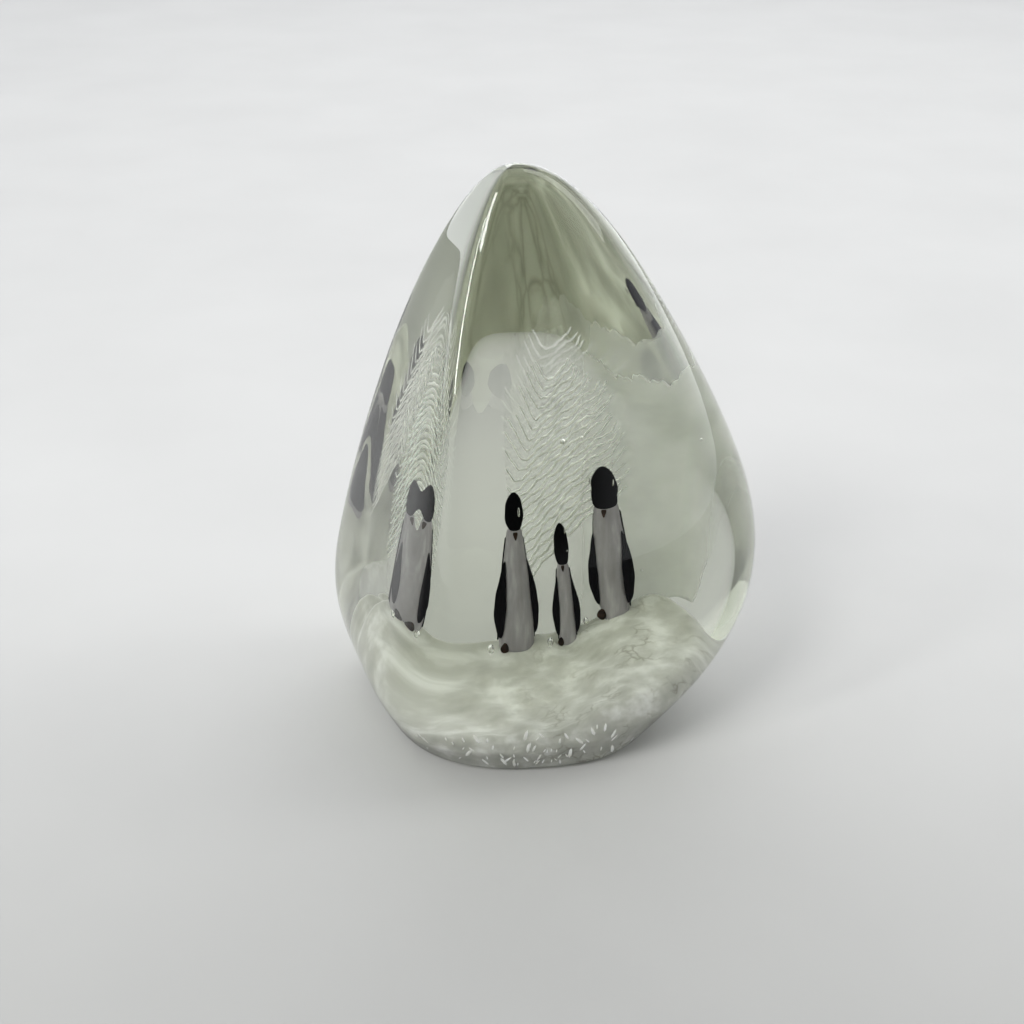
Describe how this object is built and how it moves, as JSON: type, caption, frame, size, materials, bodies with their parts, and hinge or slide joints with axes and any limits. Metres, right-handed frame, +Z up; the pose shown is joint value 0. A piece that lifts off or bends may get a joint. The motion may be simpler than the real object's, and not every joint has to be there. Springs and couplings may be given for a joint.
{
  "type": "glass paperweight",
  "caption": "Free-standing solid glass paperweight, a pointed egg with one paddled face and a flat ground base, cased over lampworked penguins on a bed of white snow.",
  "frame": {"origin": "centre of the outline seen from above, on the flat ground base", "axes": "+Z up, -Y towards the front from which the penguins face the viewer, +X to the viewer's right"},
  "size_m": [0.0854, 0.0648, 0.1115],
  "materials": {
    "clear_glass": "fire polished",
    "white_frit": "mottled white",
    "white_veil": "wrinkled film",
    "white_glass": "glossy opal",
    "black_glass": "glossy",
    "brown_glass": "glossy"
  },
  "bodies": {
    "root": {"clear_glass": "clear_glass", "snow_bed": "white_frit", "ripple_veil": "white_veil", "left_penguin_belly": "white_glass", "left_penguin_coat": "black_glass", "left_penguin_head": "black_glass", "left_penguin_beak": "brown_glass", "left_penguin_left_flipper": "black_glass", "left_penguin_right_flipper": "black_glass", "left_penguin_foot": "brown_glass", "middle_penguin_belly": "white_glass", "middle_penguin_coat": "black_glass", "middle_penguin_head": "black_glass", "middle_penguin_beak": "brown_glass", "middle_penguin_left_flipper": "black_glass", "middle_penguin_right_flipper": "black_glass", "middle_penguin_foot": "brown_glass", "right_penguin_belly": "white_glass", "right_penguin_coat": "black_glass", "right_penguin_head": "black_glass", "right_penguin_beak": "brown_glass", "right_penguin_left_flipper": "black_glass", "right_penguin_right_flipper": "black_glass", "right_penguin_foot": "brown_glass"}
  },
  "joints": []
}
